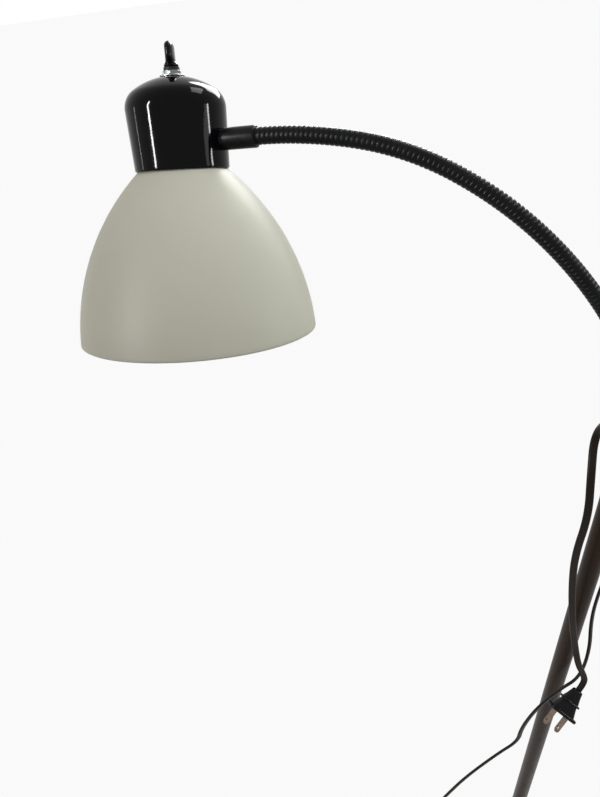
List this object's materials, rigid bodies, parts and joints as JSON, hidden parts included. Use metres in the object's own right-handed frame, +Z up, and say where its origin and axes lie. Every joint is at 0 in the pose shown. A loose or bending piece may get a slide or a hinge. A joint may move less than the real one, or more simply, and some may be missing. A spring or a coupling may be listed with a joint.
{
  "type": "gooseneck floor lamp",
  "caption": "Floor lamp: weighted round base, slim pole, ribbed gooseneck and a cup carrying a frosted bell shade, with a mains cord and plug.",
  "frame": {"origin": "middle of the felt under the round base, on the floor", "axes": "+Z up the pole; the gooseneck reaches out along -X; the shade's mouth is rolled towards -Y"},
  "size_m": [0.4921, 0.2557, 1.4118],
  "materials": {
    "base_felt": "dense black felt",
    "cast_weight": "rough black-painted casting",
    "base_enamel": "dark bronze-brown satin enamel",
    "zinc_steel": "zinc plated",
    "pole_enamel": "dark bronze-brown satin enamel",
    "collar_enamel": "black enamel",
    "gloss_enamel": "high-gloss black enamel",
    "holder_plastic": "black moulded resin",
    "shell_brass": "bright pressed brass",
    "frosted_glass": "satin-frosted opal glass",
    "switch_plastic": "black moulded resin",
    "bright_nickel": "bright nickel plate",
    "key_plastic": "black moulded resin",
    "wire_vinyl": "flexible vinyl",
    "cord_vinyl": "dark brown flexible vinyl",
    "plug_vinyl": "black moulded vinyl",
    "blade_brass": "tarnished brass",
    "neck_steel": "satin black over wound steel"
  },
  "bodies": {
    "stand": {"base_felt_pad": "base_felt", "base_weight": "cast_weight", "base_cover": "base_enamel", "base_rod": "zinc_steel", "base_rod_washer": "zinc_steel", "base_rod_nut": "zinc_steel", "pole_foot_ring": "pole_enamel", "pole_lower": "pole_enamel", "pole_upper": "pole_enamel", "pole_bottom_bush": "zinc_steel", "pole_coupler": "pole_enamel", "pole_top_cap": "pole_enamel", "neck_base_collar": "collar_enamel", "inner_lead": "cord_vinyl", "mains_cord": "cord_vinyl", "cord_strain_relief": "plug_vinyl", "plug_body": "plug_vinyl", "plug_blades": "blade_brass"},
    "neck_link_1": {"gooseneck_link_1": "neck_steel", "neck_lead_1": "cord_vinyl"},
    "neck_link_2": {"gooseneck_link_2": "neck_steel", "neck_lead_2": "cord_vinyl"},
    "neck_link_3": {"gooseneck_link_3": "neck_steel", "neck_lead_3": "cord_vinyl"},
    "neck_link_4": {"gooseneck_link_4": "neck_steel", "neck_lead_4": "cord_vinyl"},
    "neck_link_5": {"gooseneck_link_5": "neck_steel", "neck_lead_5": "cord_vinyl"},
    "neck_link_6": {"gooseneck_link_6": "neck_steel", "neck_lead_6": "cord_vinyl"},
    "head": {"head_collar": "collar_enamel", "neck_lead_7": "cord_vinyl", "head_cup": "gloss_enamel", "collar_nut": "zinc_steel", "holder_bracket": "zinc_steel", "holder_screws": "zinc_steel", "lampholder": "holder_plastic", "screw_shell": "shell_brass", "centre_contact": "shell_brass", "shade_ring": "holder_plastic", "glass_shade": "frosted_glass", "switch_body": "switch_plastic", "switch_washer": "zinc_steel", "switch_nut": "bright_nickel", "head_wires": "wire_vinyl"},
    "switch_key": {"switch_key": "key_plastic"}
  },
  "joints": [
    {"name": "neck_bend_1", "type": "hinge", "parent": "stand", "child": "neck_link_1", "pos_m": [0, 0, 1.149], "axis": [0, 1, 0], "range_deg": [-15, 15]},
    {"name": "neck_bend_2", "type": "hinge", "parent": "neck_link_1", "child": "neck_link_2", "pos_m": [-0.00934, 0, 1.20761], "axis": [-0.9505, 0, -0.3107], "range_deg": [-15, 15]},
    {"name": "neck_bend_3", "type": "hinge", "parent": "neck_link_2", "child": "neck_link_3", "pos_m": [-0.03646, 0, 1.2604], "axis": [0, 1, 0], "range_deg": [-15, 15]},
    {"name": "neck_bend_4", "type": "hinge", "parent": "neck_link_3", "child": "neck_link_4", "pos_m": [-0.07658, 0, 1.30433], "axis": [-0.6626, 0, -0.749], "range_deg": [-15, 15]},
    {"name": "neck_bend_5", "type": "hinge", "parent": "neck_link_4", "child": "neck_link_5", "pos_m": [-0.12535, 0, 1.33835], "axis": [0, 1, 0], "range_deg": [-15, 15]},
    {"name": "neck_bend_6", "type": "hinge", "parent": "neck_link_5", "child": "neck_link_6", "pos_m": [-0.18151, 0, 1.35747], "axis": [-0.1616, 0, -0.9869], "range_deg": [-15, 15]},
    {"name": "neck_bend_7", "type": "hinge", "parent": "neck_link_6", "child": "head", "pos_m": [-0.24091, 0, 1.36074], "axis": [0, 1, 0], "range_deg": [-15, 15]},
    {"name": "switch_key_turn", "type": "hinge", "parent": "head", "child": "switch_key", "pos_m": [-0.29614, 0.01249, 1.398], "axis": [-0.05, 0.2974, 0.9535], "continuous": true}
  ]
}
